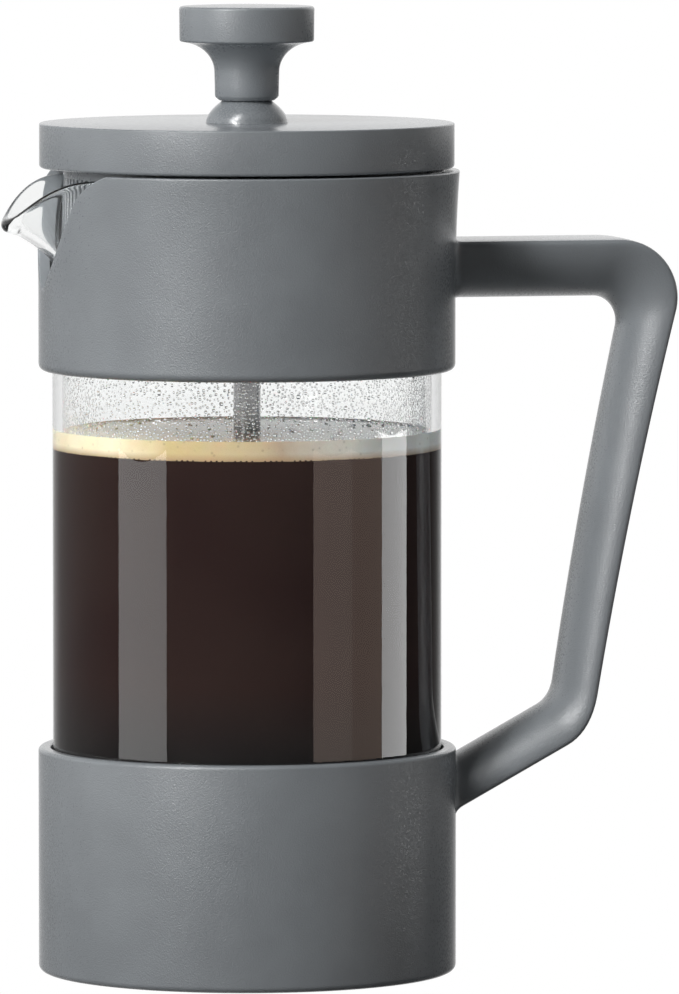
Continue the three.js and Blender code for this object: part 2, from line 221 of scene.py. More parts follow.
class Nodes:
    """A short way to build a material's node tree."""

    def __init__(self, name):
        self.material = bpy.data.materials.new(name)
        self.material.use_nodes = True
        self.tree = self.material.node_tree
        self.shader = self.tree.nodes["Principled BSDF"]
        self.output = self.tree.nodes["Material Output"]

    def add(self, kind, **settings):
        node = self.tree.nodes.new(kind)
        for key, value in settings.items():
            socket = key.replace("_", " ")
            if socket in node.inputs:
                node.inputs[socket].default_value = value
            else:
                setattr(node, key, value)
        return node

    def link(self, source, target):
        self.tree.links.new(source, target)

    def object_space(self):
        return self.add("ShaderNodeTexCoord").outputs["Object"]

    def position(self):
        """The X, Y and Z of object space."""
        split = self.add("ShaderNodeSeparateXYZ")
        self.link(self.object_space(), split.inputs["Vector"])
        return split.outputs

    def noise(self, scale, detail=2.0, roughness=0.5):
        node = self.add("ShaderNodeTexNoise", Scale=scale, Detail=detail, Roughness=roughness)
        self.link(self.object_space(), node.inputs["Vector"])
        return node.outputs["Fac"]

    def ramp(self, value, *stops):
        """Maps a value onto a ramp through two or more (position, colour) stops."""
        node = self.add("ShaderNodeValToRGB")
        for _ in stops[2:]:
            node.color_ramp.elements.new(0.5)
        for stop, (position, colour) in zip(node.color_ramp.elements, stops):
            stop.position = position
            stop.color = (*colour, 1)
        self.link(value, node.inputs["Fac"])
        return node.outputs["Color"]

    def spread(self, value, low, high):
        """Maps a noise, which mostly runs from 0.3 to 0.7, onto low to high."""
        node = self.add("ShaderNodeMapRange", From_Min=0.3, From_Max=0.7, To_Min=low, To_Max=high)
        self.link(value, node.inputs["Value"])
        return node.outputs["Result"]

    def rise(self, value, low, high):
        """0 where the value is at most low, and 1 where it is at least high."""
        node = self.add("ShaderNodeMapRange", From_Min=low, From_Max=high)
        self.link(value, node.inputs["Value"])
        return node.outputs["Result"]

    def mix(self, share, first, second, **settings):
        """Blends two numbers or colours, plain or from sockets, by a share from 0 to 1."""
        node = self.add("ShaderNodeMix", **settings)
        for name, source in (("Factor", share), ("A", first), ("B", second)):
            feed(self.tree, node.inputs[name], source)
        return node.outputs["Result"]

    def when_grazing(self, seen_squarely, at_grazing):
        """Blends to a second value where the surface is seen almost along itself."""
        facing = self.add("ShaderNodeLayerWeight", Blend=0.3).outputs["Facing"]
        return self.mix(facing, seen_squarely, at_grazing)

    def bump(self, height, depth, strength=1.0, under=None):
        node = self.add("ShaderNodeBump", Strength=strength, Distance=depth)
        self.link(height, node.inputs["Height"])
        if under is not None:
            self.link(under, node.inputs["Normal"])
        return node.outputs["Normal"]

    def set(self, **values):
        for key, value in values.items():
            self.shader.inputs[key.replace("_", " ")].default_value = value

    def drive(self, socket, source):
        self.link(source, self.shader.inputs[socket])

    def blend(self, share, other):
        """Shows another shader in place of the main one, by a share from 0 to 1."""
        mix = self.add("ShaderNodeMixShader")
        self.link(share, mix.inputs["Fac"])
        self.link(self.shader.outputs["BSDF"], mix.inputs[1])
        self.link(other, mix.inputs[2])
        self.link(mix.outputs["Shader"], self.output.inputs["Surface"])


def moulded_plastic(name, colour, roughness, grain_depth):
    """Grey plastic with a fine spark-eroded grain, slightly uneven in colour and gloss."""
    nodes = Nodes(name)
    darker = tuple(0.94 * c for c in colour)
    lighter = tuple(1.04 * c for c in colour)
    nodes.drive("Base Color", nodes.ramp(nodes.noise(90, 3), (0.35, darker), (0.65, lighter)))
    uneven = nodes.spread(nodes.noise(2300, 2), roughness - 0.12, roughness + 0.12)
    nodes.drive("Roughness", nodes.when_grazing(uneven, 0.3 * roughness))
    waves = nodes.bump(nodes.noise(60, 1), 0.05 * MM, 0.25)
    grain = nodes.bump(nodes.noise(3600, 2, 0.6), grain_depth, 1.0, waves)
    nodes.link(nodes.when_grazing(1.0, 0.0), grain.node.inputs["Strength"])
    nodes.drive("Normal", grain)
    nodes.set(IOR=1.6, Specular_IOR_Level=0.9)
    return nodes.material


def clear_glass(name, ior, tint):
    """Glass or water, which lets the lamps' light straight through."""
    nodes = Nodes(name)
    nodes.set(Base_Color=(*tint, 1), Roughness=0.0, IOR=ior, Transmission_Weight=1.0)
    path = nodes.add("ShaderNodeLightPath")
    clear = nodes.add("ShaderNodeBsdfTransparent")
    nodes.blend(path.outputs["Is Shadow Ray"], clear.outputs["BSDF"])
    return nodes.material


def brushed_steel(name, roughness=0.22, lines=(1, 1, 40), painted_shade_tone=1.0):
    """Stainless steel, with fine lines that run across the axis given the large scale. A tone below 1 darkens
    it as painted shade.
    """
    nodes = Nodes(name)
    mapping = nodes.add("ShaderNodeMapping")
    mapping.inputs["Scale"].default_value = lines
    nodes.link(nodes.object_space(), mapping.inputs["Vector"])
    noise = nodes.add("ShaderNodeTexNoise", Scale=400.0, Detail=3.0)
    nodes.link(mapping.outputs["Vector"], noise.inputs["Vector"])
    fac = noise.outputs["Fac"]
    darker = tuple(painted_shade_tone * c for c in (0.50, 0.50, 0.51))
    lighter = tuple(painted_shade_tone * c for c in (0.66, 0.66, 0.67))
    nodes.drive("Base Color", nodes.ramp(fac, (0.3, darker), (0.7, lighter)))
    nodes.drive("Roughness", nodes.spread(fac, roughness - 0.06, roughness + 0.08))
    nodes.drive("Normal", nodes.bump(fac, 0.01 * MM, 0.5))
    nodes.set(Metallic=1.0)
    return nodes.material


def woven_steel(name):
    """A plain weave of fine wire, about three wires to the millimetre."""
    nodes = Nodes(name)
    waves = []
    for direction in ("X", "Y"):
        wave = nodes.add("ShaderNodeTexWave", bands_direction=direction, Scale=480.0)
        nodes.link(nodes.object_space(), wave.inputs["Vector"])
        waves.append(wave.outputs["Fac"])
    both = nodes.add("ShaderNodeMath", operation="MULTIPLY")
    nodes.link(waves[0], both.inputs[0])
    nodes.link(waves[1], both.inputs[1])
    fac = both.outputs["Value"]
    nodes.drive("Base Color", nodes.ramp(fac, (0.05, (0.10, 0.10, 0.11)), (0.6, (0.62, 0.62, 0.63))))
    nodes.drive("Roughness", nodes.spread(fac, 0.5, 0.3))
    nodes.drive("Normal", nodes.bump(fac, 0.06 * MM))
    nodes.set(Metallic=1.0)
    return nodes.material


def turned_brass(name):
    nodes = Nodes(name)
    fac = nodes.noise(900, 3)
    nodes.drive("Base Color", nodes.ramp(fac, (0.3, (0.62, 0.44, 0.20)), (0.7, (0.78, 0.60, 0.32))))
    nodes.drive("Roughness", nodes.spread(fac, 0.25, 0.4))
    nodes.set(Metallic=1.0)
    return nodes.material


def black_coffee(name):
    """Coffee: a very dark brown, which fades to a neutral black near the base cup as painted shade, for the
    little light that reaches the coffee down there.
    """
    nodes = Nodes(name)
    brown = nodes.ramp(nodes.noise(35, 2), (0.35, (0.023, 0.013, 0.012)), (0.65, (0.028, 0.017, 0.015)))
    # Painted shade: the coffee goes to a neutral black low down, near the base cup, where little light
    # reaches.
    clear_of_painted_shade = nodes.rise(nodes.position()["Z"], BASE_TOP - 2 * MM, BASE_TOP + 14 * MM)
    nodes.drive("Base Color", nodes.mix(clear_of_painted_shade, (0.016, 0.016, 0.016, 1), brown, data_type="RGBA"))
    nodes.set(Roughness=0.6, Specular_IOR_Level=0.0)
    return nodes.material


def coffee_foam(name):
    """Fine crema: golden at the spout, browner in the middle, pale at the handle, with dark pits. The pale
    grey-white at the handle is painted light, for backlight through the thin foam, and the bright gold at the
    spout is painted light falling on that side.
    """
    nodes = Nodes(name)
    place = nodes.position()
    across = nodes.add("ShaderNodeMath", operation="MULTIPLY_ADD")
    across.inputs[1].default_value = 0.5 / GLASS_BORE
    nodes.link(place["X"], across.inputs[0])
    nodes.link(nodes.spread(nodes.noise(70, 4), 0.42, 0.58), across.inputs[2])
    # Painted light across X over the crema's own browns: pale towards the handle for backlight through the
    # foam, bright gold towards the spout for the light on that side.
    swirls_and_painted_light = nodes.ramp(
        across.outputs["Value"],
        (0.0, (0.93, 0.85, 0.62)), (0.25, (0.53, 0.41, 0.18)),
        (0.37, (0.53, 0.43, 0.26)), (0.48, (0.43, 0.34, 0.24)),
        (0.64, (0.66, 0.65, 0.57)), (0.8, (0.76, 0.79, 0.77)),
        (1.0, (0.86, 0.89, 0.88)),
    )
    lower_layer = nodes.rise(place["Z"], COFFEE_TOP - 0.4 * MM, COFFEE_TOP + 1.2 * MM)
    toasted = nodes.mix(lower_layer, (0.36, 0.22, 0.10, 1), swirls_and_painted_light, data_type="RGBA")
    pits = nodes.add("ShaderNodeTexVoronoi", Scale=650.0)
    nodes.link(nodes.object_space(), pits.inputs["Vector"])
    mask = nodes.ramp(pits.outputs["Distance"], (0.08, (0, 0, 0)), (0.22, (1, 1, 1)))
    pitted = nodes.mix(0.25, toasted, mask, data_type="RGBA", blend_type="MULTIPLY")
    nodes.drive("Base Color", pitted)
    nodes.drive("Normal", nodes.bump(nodes.noise(1500, 3), 0.12 * MM, 0.6))
    nodes.set(Roughness=0.55, Coat_Weight=0.7, Coat_Roughness=0.2)
    nodes.set(Subsurface_Weight=0.3, Subsurface_Scale=1 * MM)
    return nodes.material


GREY = (0.260, 0.280, 0.298)
FRAME_PLASTIC = moulded_plastic("frame_plastic", GREY, 0.43, 0.066 * MM)
LID_PLASTIC = moulded_plastic("lid_plastic", GREY, 0.43, 0.070 * MM)
GUIDE_PLASTIC = moulded_plastic("guide_plastic", tuple(0.9 * c for c in GREY), 0.3, 0.010 * MM)
BEAKER_GLASS = clear_glass("beaker_glass", 1.47, (0.985, 0.992, 0.99))
WATER = clear_glass("water", 1.33, (1, 1, 1))
# The rod's steel is painted at 0.55 tone: painted shade, standing in for the dim studio on the camera's side
# that the rod reflects.
ROD_STEEL = brushed_steel("rod_steel", 0.2, (1, 1, 40), 0.55)
PRESSED_STEEL = brushed_steel("pressed_steel", 0.25, (1, 12, 1))
WOVEN_STEEL = woven_steel("woven_steel")
BRASS = turned_brass("turned_brass")
COFFEE = black_coffee("black_coffee")
CREMA = coffee_foam("coffee_foam")

# ---------------------------------------------------------------- frame moulding

FLARE_BOTTOM = 124 * MM


def edge_steps(edge):
    """How far the steps of a small rounded edge lie in from its side and down from its top."""
    turns = np.radians([22, 45, 67, 90])
    return [(edge * (1 - math.cos(turn)), edge * (1 - math.sin(turn))) for turn in turns]


def notch_half_width(height):
    """Half the notch's width at a height above its lowest point, both in millimetres."""
    flare_start, flare_height, flare_width = 14, 8, 5.6
    flare = flare_width * max(height - flare_start, 0) ** 3 / flare_height**3
    return 2.05 * height**0.72 + flare


NOTCH_HEIGHTS = np.linspace(0, 24, 400)
NOTCH_HALF_WIDTHS = np.array([notch_half_width(h) for h in NOTCH_HEIGHTS])


def collar_edge(y):
    """The height of the collar's upper edge at a distance y from the spout's middle plane."""
    above = np.interp(abs(y) / MM, NOTCH_HALF_WIDTHS, NOTCH_HEIGHTS) * MM
    return min(NOTCH_BOTTOM + above, COLLAR_TOP)


def collar_radius(z):
    """The collar's outer radius, which flares slightly towards its top."""
    share = np.clip((z - FLARE_BOTTOM) / (COLLAR_TOP - FLARE_BOTTOM), 0, 1)
    return COLLAR_R + COLLAR_FLARE * share**2.3


def spout_side_angles(dense_half_angle, dense_step, coarse_step):
    """Angles right round the axis, close together near the spout at 180 degrees."""
    dense = np.arange(-dense_half_angle, dense_half_angle + dense_step / 2, dense_step)
    coarse_count = round((360 - 2 * dense_half_angle) / coarse_step)
    rest = np.linspace(dense_half_angle, 360 - dense_half_angle, coarse_count)
    return np.radians(180 + np.concatenate([dense, rest[1:-1]]))


def collar_shell():
    """The collar, as one closed section for each angle round the axis."""
    edge = 0.35 * MM
    rows = 18
    bottom = rounded(
        [
            (FRAME_BORE, COLLAR_BOTTOM + 3 * MM), (FRAME_BORE, COLLAR_BOTTOM, 0.5 * MM),
            (COLLAR_R, COLLAR_BOTTOM, 1.3 * MM), (COLLAR_R, COLLAR_BOTTOM + 3 * MM),
        ]
    )[1:-1]
    sections = []
    for angle in spout_side_angles(50, 0.5, 2.5):
        away = abs(math.sin(angle))
        toward_spout = math.cos(angle) < 0
        outer_top = collar_edge(COLLAR_TOP_R * away) if toward_spout else COLLAR_TOP
        inner_top = collar_edge(FRAME_BORE * away) if toward_spout else COLLAR_TOP
        section = list(bottom)
        for z in np.linspace(COLLAR_BOTTOM + 1.6 * MM, outer_top - edge, rows):
            section.append((collar_radius(z), z))
        for inset, drop in edge_steps(edge):
            section.append((collar_radius(outer_top) - inset, outer_top - drop))
        for inset, drop in edge_steps(edge)[::-1]:
            section.append((FRAME_BORE + inset, inner_top - drop))
        for z in np.linspace(inner_top - edge, COLLAR_BOTTOM + 1 * MM, rows):
            section.append((FRAME_BORE, z))
        sections.append([(r * math.cos(angle), r * math.sin(angle), z) for r, z in section])
    return grid(np.array(sections), loop_rows=True)


def base_shells():
    """The base cup, and the ribs on its floor that carry the glass."""
    corners = [
        (0, 0), (BASE_R, 0, 1.2 * MM),
        (BASE_R, BASE_TOP, 0.8 * MM), (FRAME_BORE, BASE_TOP, 0.5 * MM),
        (FRAME_BORE, BASE_FLOOR, 2 * MM), (0, BASE_FLOOR),
    ]
    shells = [turned(rounded(corners), 240)]
    rib_count = 6
    half_angle = 1 * MM / FRAME_BORE
    inner, outer = 12 * MM, FRAME_BORE + 0.5 * MM
    bottom, top = BASE_FLOOR - 1 * MM, GLASS_BOTTOM - 0.1 * MM
    for i in range(rib_count):
        middle = (i + 0.5) * 2 * math.pi / rib_count
        shells.append(sector(inner, outer, bottom, top, middle - half_angle, middle + half_angle))
    return shells


def arc(centre, radius, first, last, steps):
    """Points on a circle, from one angle in degrees to another."""
    angles = np.radians(np.linspace(first, last, steps))
    return [(centre[0] + radius * math.cos(a), centre[1] + radius * math.sin(a)) for a in angles]


def bend(start, control, end, steps):
    """Points on a quadratic curve."""
    start, control, end = (np.array(p) for p in (start, control, end))
    shares = np.linspace(0, 1, steps)
    return [tuple((1 - t) ** 2 * start + 2 * t * (1 - t) * control + t**2 * end) for t in shares]


def handle_edges():
    """The outer and inner edges of the handle in the XZ plane, in pairs of (x, z) points.

    The points here are in millimetres, and run from the collar out, down the grip and in to the base.
    """
    corner, grip, foot = 24, 40, 10  # how many points each stretch has
    outer = [(60.0, 135.2), (65.0, 135.2)]
    inner = [(60.0, 124.4), (63.0, 124.4)]
    outer += arc((69.05, 124.4), 10.8, 90, -11, corner)
    inner += arc((65.7, 119.4), 5.0, 90, -11, corner)
    outer += bend((79.65, 122.3), (70.8, 87.1), (64.6, 50.3), grip)[1:]
    inner += bend((70.6, 118.4), (63.5, 84.6), (58.8, 52.6), grip)[1:]
    outer += bend((64.6, 50.3), (63.3, 43.6), (58.8, 41.2), foot)[1:]
    inner += bend((58.8, 52.6), (58.3, 49.6), (55.9, 48.2), foot)[1:]
    outer += [(54.6, 38.93)]
    inner += [(51.7, 45.9)]
    return np.array(outer) * MM, np.array(inner) * MM


def handle_section():
    """Depths from the crest to the outer face, as shares of the thickness, and half widths."""
    arch = np.radians(np.linspace(90, 0, 19))
    depth = 1 - np.cos(arch) ** 1.25
    width = HANDLE_HALF_WIDTH * np.sin(arch) ** 0.87
    return depth, width


def handle_shell():
    """A bar swept from the collar out, down and back to the base: flat outside, arched inside."""
    edge = 0.8 * MM
    depth, width = handle_section()
    sections = []
    for out, into in zip(*handle_edges()):
        thickness = np.linalg.norm(out - into)
        outward = (out - into) / thickness
        front = [(thickness + 0.12 * MM, 0.5 * HANDLE_HALF_WIDTH)]
        for inset, drop in edge_steps(edge)[::-1]:
            front.append((thickness - drop, HANDLE_HALF_WIDTH - inset))
        front += list(zip((thickness - edge) * depth, width))
        back = [(s, -y) for s, y in reversed(front[:-1])]
        ring = [(*(into + outward * s), -y) for s, y in [(thickness + 0.15 * MM, 0), *front, *back]]
        sections.append(np.array(ring)[:, (0, 2, 1)])
    upper = root_rings(sections[0], np.array((-1.0, 0, 0)), collar_radius)
    arm = sections[-1].mean(axis=0) - sections[-2].mean(axis=0)
    lower = root_rings(sections[-1], arm / np.linalg.norm(arm), lambda z: BASE_R)
    rings = upper[::-1] + sections + lower
    points, faces = grid(np.array(rings))
    count = len(sections[0])
    faces.append(tuple(range(count))[::-1])
    faces.append(tuple(len(points) - count + i for i in range(count)))
    return points, faces


def root_rings(section, direction, radius_at):
    """Rings that run from a section of the bar to the round wall it grows from, with a fillet."""
    fillet = 1.3 * MM
    outward = section - section.mean(axis=0)
    outward /= np.linalg.norm(outward, axis=1)[:, None]
    rings = []
    for distance in (8.0, 5.5, 3.5, 2.2, 1.3, 0.9, 0.6, 0.35, 0.15, 0.03, -0.4):
        gap = distance * MM
        inside_fillet = min(max(fillet - gap, 0), fillet)
        ring = section + outward * (fillet - math.sqrt(fillet**2 - inside_fillet**2))
        reach = np.array([radius_at(z) for z in ring[:, 2]]) + gap
        # How far along the direction each point meets the upright cylinder of that radius.
        a = direction[0] ** 2 + direction[1] ** 2
        b = 2 * (ring[:, 0] * direction[0] + ring[:, 1] * direction[1])
        c = ring[:, 0] ** 2 + ring[:, 1] ** 2 - reach**2
        travel = (-b - np.sqrt(b * b - 4 * a * c)) / (2 * a)
        rings.append(ring + direction * travel[:, None])
    return rings


frame_shells = [collar_shell(), handle_shell(), *base_shells()]
frame_nodes = ("base_cup", "collar", "handle")
piece("frame_moulding", frame_shells, FRAME_PLASTIC, "frame", frame_nodes, sharp=50)

# ---------------------------------------------------------------- beaker

SPOUT_REACH = 9.6 * MM
SPOUT_DEPTH = 16 * MM
SPOUT_HALF_WIDTH = 18 * MM
RIM_MIDDLE = GLASS_RIM - GLASS_WALL / 2  # the rim is a half-round bead, and this is its centre
GLASS_FLOOR = GLASS_BOTTOM + 2 * MM
FLOOR_FILLET = 2.6 * MM


def pulled(x, y, z):
    """Where a point of the straight wall goes when the pouring spout is drawn out of it."""
    down = np.clip((RIM_MIDDLE - z) / SPOUT_DEPTH, 0, 1)
    half_width_here = SPOUT_HALF_WIDTH * (1 - 0.55 * down)
    side = np.clip(np.abs(y) / half_width_here, 0, 1)
    across = np.where(x < 0, 1 - side**2.2, 0) ** 1.3
    at_rim = SPOUT_REACH * across
    out = at_rim * (1 - down) ** 1.5
    droop = 0.0347 * MM * (at_rim / MM) ** 2.4 * (1 - down) ** 1.1
    return np.stack([x - out, y, z - droop], axis=-1)


def beaker_shell():
    """The glass: its wall is laid out along its middle, then thickened to both sides."""
    angles = spout_side_angles(30, 0.75, 2.5)
    middle_r = GLASS_R - GLASS_WALL / 2
    straight = np.linspace(GLASS_BOTTOM + 6 * MM, RIM_MIDDLE - SPOUT_DEPTH - 1 * MM, 14)
    spout = np.linspace(RIM_MIDDLE - SPOUT_DEPTH, RIM_MIDDLE, 44)
    z = np.concatenate([straight, spout])[:, None] * np.ones(len(angles))
    x = middle_r * np.cos(angles) * np.ones_like(z)
    y = middle_r * np.sin(angles) * np.ones_like(z)
    middle = pulled(x, y, z)
    upward = np.gradient(middle, axis=0)
    around = np.roll(middle, -1, axis=1) - np.roll(middle, 1, axis=1)
    normal = np.cross(around, upward)
    normal /= np.linalg.norm(normal, axis=2)[:, :, None]
    radial = np.stack([np.cos(angles), np.sin(angles), 0 * angles], axis=-1)
    if (normal[0] * radial).sum() < 0:
        normal = -normal
    upward /= np.linalg.norm(upward, axis=2)[:, :, None]
    near_tip = np.exp(-((middle[-1, :, 1] / (4.5 * MM)) ** 2)) * (middle[-1, :, 0] < 0)
    near_rim = np.exp(-(((RIM_MIDDLE - z) / (1.6 * MM)) ** 2))
    half_wall = GLASS_WALL / 2 + 0.5 * MM * near_tip[None, :] * near_rim
    outside = middle + normal * half_wall[:, :, None]
    inside = middle - normal * half_wall[:, :, None]
    bead = []
    for turn in np.radians(np.linspace(15, 165, 11)):
        direction = math.cos(turn) * normal[-1] + math.sin(turn) * upward[-1]
        bead.append(middle[-1] + half_wall[-1][:, None] * direction)
    flat_r = 20 * MM
    up = 1  # any height above the foot will do: it only aims the fillets
    corners = [(0, GLASS_BOTTOM), (flat_r, GLASS_BOTTOM), (GLASS_R, GLASS_BOTTOM, 4 * MM), (GLASS_R, up)]
    foot_outside = rounded(corners, 8)[:-1]
    corners = [(GLASS_BORE, up), (GLASS_BORE, GLASS_FLOOR, FLOOR_FILLET), (flat_r, GLASS_FLOOR)]
    foot_inside = rounded([*corners, (0, GLASS_FLOOR)], 8)[1:]
    foot_out, _ = turned(foot_outside, angles=angles)
    foot_in, _ = turned(foot_inside, angles=angles)
    rings = [
        foot_out.reshape(-1, len(angles), 3),
        outside,
        np.array(bead),
        inside[::-1],
        foot_in.reshape(-1, len(angles), 3),
    ]
    return grid(np.concatenate(rings))


piece("beaker_glass", [beaker_shell()], BEAKER_GLASS, "beaker", ("beaker",), sharp=180)

# ---------------------------------------------------------------- coffee and condensation

# The coffee reaches just into the glass, so that no air is left between them.
WETTED_DEPTH = 0.03 * MM
WETTED_R = GLASS_BORE + WETTED_DEPTH


def coffee_piece():
    floor = GLASS_FLOOR - WETTED_DEPTH
    corners = [(0, floor), (WETTED_R, floor, FLOOR_FILLET), (WETTED_R, COFFEE_TOP), (0, COFFEE_TOP)]
    return piece("coffee", [turned(rounded(corners, 8), 200)], COFFEE, "beaker")


def crema_piece():
    """The foam: an uneven top that climbs a little up the glass, and an uneven lower edge."""
    draw = random.Random(7)
    columns, bubble_count = 240, 260
    angles = np.linspace(0, 2 * math.pi, columns, endpoint=False)
    waves = [(k, draw.uniform(0, 2 * math.pi), draw.uniform(0.3, 1.0)) for k in (2, 3, 5, 9, 14, 23, 31, 47)]
    ripple = sum(size / k**0.5 * np.sin(k * angles + phase) for k, phase, size in waves)
    rings = []
    bottom = COFFEE_TOP - 0.15 * MM + 0.10 * MM * ripple
    top = CREMA_TOP + 0.06 * MM * ripple
    for r, z in (
        (WETTED_R - 1.5 * MM, bottom - 0.2 * MM), (WETTED_R, bottom),
        (WETTED_R, (bottom + top) / 2), (WETTED_R, top + 0.25 * MM),
        (WETTED_R - 0.25 * MM, top + 0.1 * MM), (WETTED_R - 0.7 * MM, top - 0.05 * MM),
        (WETTED_R - 1.5 * MM, top - 0.12 * MM),
    ):
        rings.append(np.stack([r * np.cos(angles), r * np.sin(angles), z * np.ones(columns)], axis=-1))
    for r in np.linspace(0.9, 0.0, 16) * WETTED_R:
        z = CREMA_TOP - 0.12 * MM + 0.05 * MM * (r / WETTED_R) * ripple
        rings.append(np.stack([r * np.cos(angles), r * np.sin(angles), z], axis=-1))
    rings[-1][:, 2] = CREMA_TOP - 0.12 * MM
    under = rings[0].copy()
    under[:, :2] = 0
    under[:, 2] = COFFEE_TOP - 0.3 * MM
    rings.insert(0, under)
    shells = [grid(np.array(rings))]
    for _ in range(bubble_count):
        r = WETTED_R * math.sqrt(draw.uniform(0.0, 1.0))
        if draw.random() < 0.6:
            r = WETTED_R - draw.uniform(0.3, 2.5) * MM
        angle = draw.uniform(0, 2 * math.pi)
        size = draw.uniform(0.12, 0.4) * MM
        shells.append(bubble(r * math.cos(angle), r * math.sin(angle), CREMA_TOP - 0.1 * MM, size))
    return piece("crema", shells, CREMA, "beaker")


def bubble(x, y, z, size):
    """A slightly flattened round bubble."""
    profile = [(0, -size * 0.4)]
    profile += [(size * math.cos(a), size * 0.8 * math.sin(a)) for a in np.radians([-30, 0, 30, 60])]
    profile.append((0, size * 0.8))
    points, faces = turned(profile, 10)
    return points + np.array((x, y, z)), faces


def condensation_piece():
    """Drops on the inside of the glass above the coffee: lens-shaped caps that stand on the wall."""
    draw = random.Random(21)
    sides = 6
    ring_angles = np.linspace(0, 2 * math.pi, sides, endpoint=False)
    faces = [tuple(range(sides))[::-1]]
    for j in range(sides):
        k = (j + 1) % sides
        faces.append((j, k, sides + k, sides + j))
        faces.append((sides + j, sides + k, 2 * sides))
    shells = []
    taken = {}
    tries, cell = 34000, 0.9 * MM
    wall = GLASS_BORE - 0.02 * MM
    lowest, highest = CREMA_TOP + 0.4 * MM, CREMA_TOP + 24 * MM
    for _ in range(tries):
        along = draw.uniform(0, 2 * math.pi)
        z = lowest + (highest - lowest) * draw.random() ** 1.6
        size = draw.uniform(0.14, 0.32) * MM
        if draw.random() < 0.06:
            size *= 1.7
        toward_spout = -math.cos(along)
        if draw.random() < 0.85 * (toward_spout - 0.05):
            continue
        key = (int(along * wall / cell), int(z / cell))
        near = [d for i in (-1, 0, 1) for j in (-1, 0, 1) for d in taken.get((key[0] + i, key[1] + j), ())]
        if any(math.hypot((along - a) * wall, z - h) < (size + s) * 1.02 for a, h, s in near):
            continue
        taken.setdefault(key, []).append((along, z, size))
        tall = draw.uniform(0.75, 1.2)
        points = []
        for share, height in ((1.0, 0.0), (0.7, 0.3)):
            for a in ring_angles:
                spread = along + size * share * math.cos(a) / wall
                r = wall - size * height
                level = z + size * share * tall * math.sin(a)
                points.append((r * math.cos(spread), r * math.sin(spread), level))
        r = wall - size * 0.42
        points.append((r * math.cos(along), r * math.sin(along), z))
        shells.append((points, faces))
    return piece("condensation", shells, WATER, "beaker", sharp=60)


coffee_piece()
crema_piece()
condensation_piece()

# ---------------------------------------------------------------- lid

GUIDE_HOLE_R = 5.2 * MM


def lid_cap_piece():
    wall = 2 * MM
    ceiling = LID_TOP - 2.2 * MM
    profile = rounded(
        [
            (LID_R - wall, LID_BOTTOM, 0.3 * MM), (LID_R, LID_BOTTOM, 0.6 * MM),
            (LID_R, LID_TOP, 0.28 * MM), (GUIDE_HOLE_R, LID_TOP),
            (GUIDE_HOLE_R, ceiling), (LID_R - wall, ceiling, 0.4 * MM),
        ]
    )
    return piece("lid_plate", [turned_ring(profile, 240)], LID_PLASTIC, "lid", ("lid_cap",))


def lid_insert_piece():
    """A flange under the lid, with a skirt whose slots face the spout."""
    flange_bottom = LID_BOTTOM + 0.3 * MM
    flange_top = flange_bottom + 1.7 * MM
    flange_r = LID_R - 2.3 * MM
    bore = SKIRT_R - 1.6 * MM
    slot_bottom = SKIRT_BOTTOM + 1.5 * MM
    slot_top = flange_bottom - 2 * MM
    slot_count, pitch, slot_width = 22, 1.9 * MM / SKIRT_R, 0.9 * MM / SKIRT_R
    flange = rounded(
        [
            (SKIRT_R, slot_top), (SKIRT_R, flange_bottom, 0.3 * MM),
            (flange_r, flange_bottom, 0.3 * MM), (flange_r, flange_top),
            (GUIDE_HOLE_R, flange_top), (GUIDE_HOLE_R, flange_bottom),
            (bore, flange_bottom, 0.5 * MM), (bore, slot_top),
        ]
    )
    band = rounded(
        [
            (bore, SKIRT_BOTTOM, 0.3 * MM), (SKIRT_R, SKIRT_BOTTOM, 0.3 * MM),
            (SKIRT_R, slot_bottom), (bore, slot_bottom),
        ]
    )
    shells = [turned_ring(flange, 200), turned_ring(band, 200)]
    low, high = slot_bottom - 0.1 * MM, slot_top + 0.1 * MM
    first = math.pi - (slot_count - 1) / 2 * pitch
    inset = 0.01 * MM
    for i in range(slot_count - 1):
        start = first + i * pitch + slot_width / 2
        shells.append(sector(bore + inset, SKIRT_R - inset, low, high, start, start + pitch - slot_width))
    start = first + (slot_count - 1) * pitch + slot_width / 2
    end = first - slot_width / 2 + 2 * math.pi
    shells.append(sector(bore + inset, SKIRT_R - inset, low, high, start, end, 120))
    return piece("strainer_skirt", shells, LID_PLASTIC, "lid", ("lid_insert",))


def dome_piece():
    """The polished dome on the lid, and its stem through the lid."""
    bore = ROD_R + 0.15 * MM
    stem = 4.9 * MM
    stem_bottom = heights("rod_guide")[0]
    dome_r, narrowing = 7.6 * MM, 2.9 * MM
    contact = KNOB_BOTTOM - 0.02 * MM
    rise = contact - LID_TOP - 0.2 * MM
    profile = [(bore, stem_bottom), (stem, stem_bottom), (stem, LID_TOP - 0.05 * MM)]
    profile += [(stem + 0.1 * MM, LID_TOP), (dome_r + 0.06 * MM, LID_TOP + 0.02 * MM)]
    for share in np.linspace(0, 1, 12):
        profile.append((dome_r - narrowing * share**1.6, LID_TOP + 0.1 * MM + rise * share**0.9))
    profile += [(4.5 * MM, contact), (bore + 0.3 * MM, contact), (bore, contact - 0.3 * MM)]
    profile.append((bore, stem_bottom))
    shells = [turned(profile, 120)]
    return piece("guide_dome", shells, GUIDE_PLASTIC, "guide", ("rod_guide",))


def clip_piece():
    bottom, top = heights("guide_clip")
    hole, rim = 5.0 * MM, 8.0 * MM
    corners = [(hole, bottom, 0.2 * MM), (rim, bottom, 0.3 * MM), (rim, top, 0.3 * MM), (hole, top, 0.2 * MM)]
    shells = [turned_ring(rounded(corners), 96)]
    return piece("push_clip", shells, PRESSED_STEEL, "guide", ("guide_clip",))


lid_cap_piece()
lid_insert_piece()
dome_piece()
clip_piece()

# ---------------------------------------------------------------- plunger


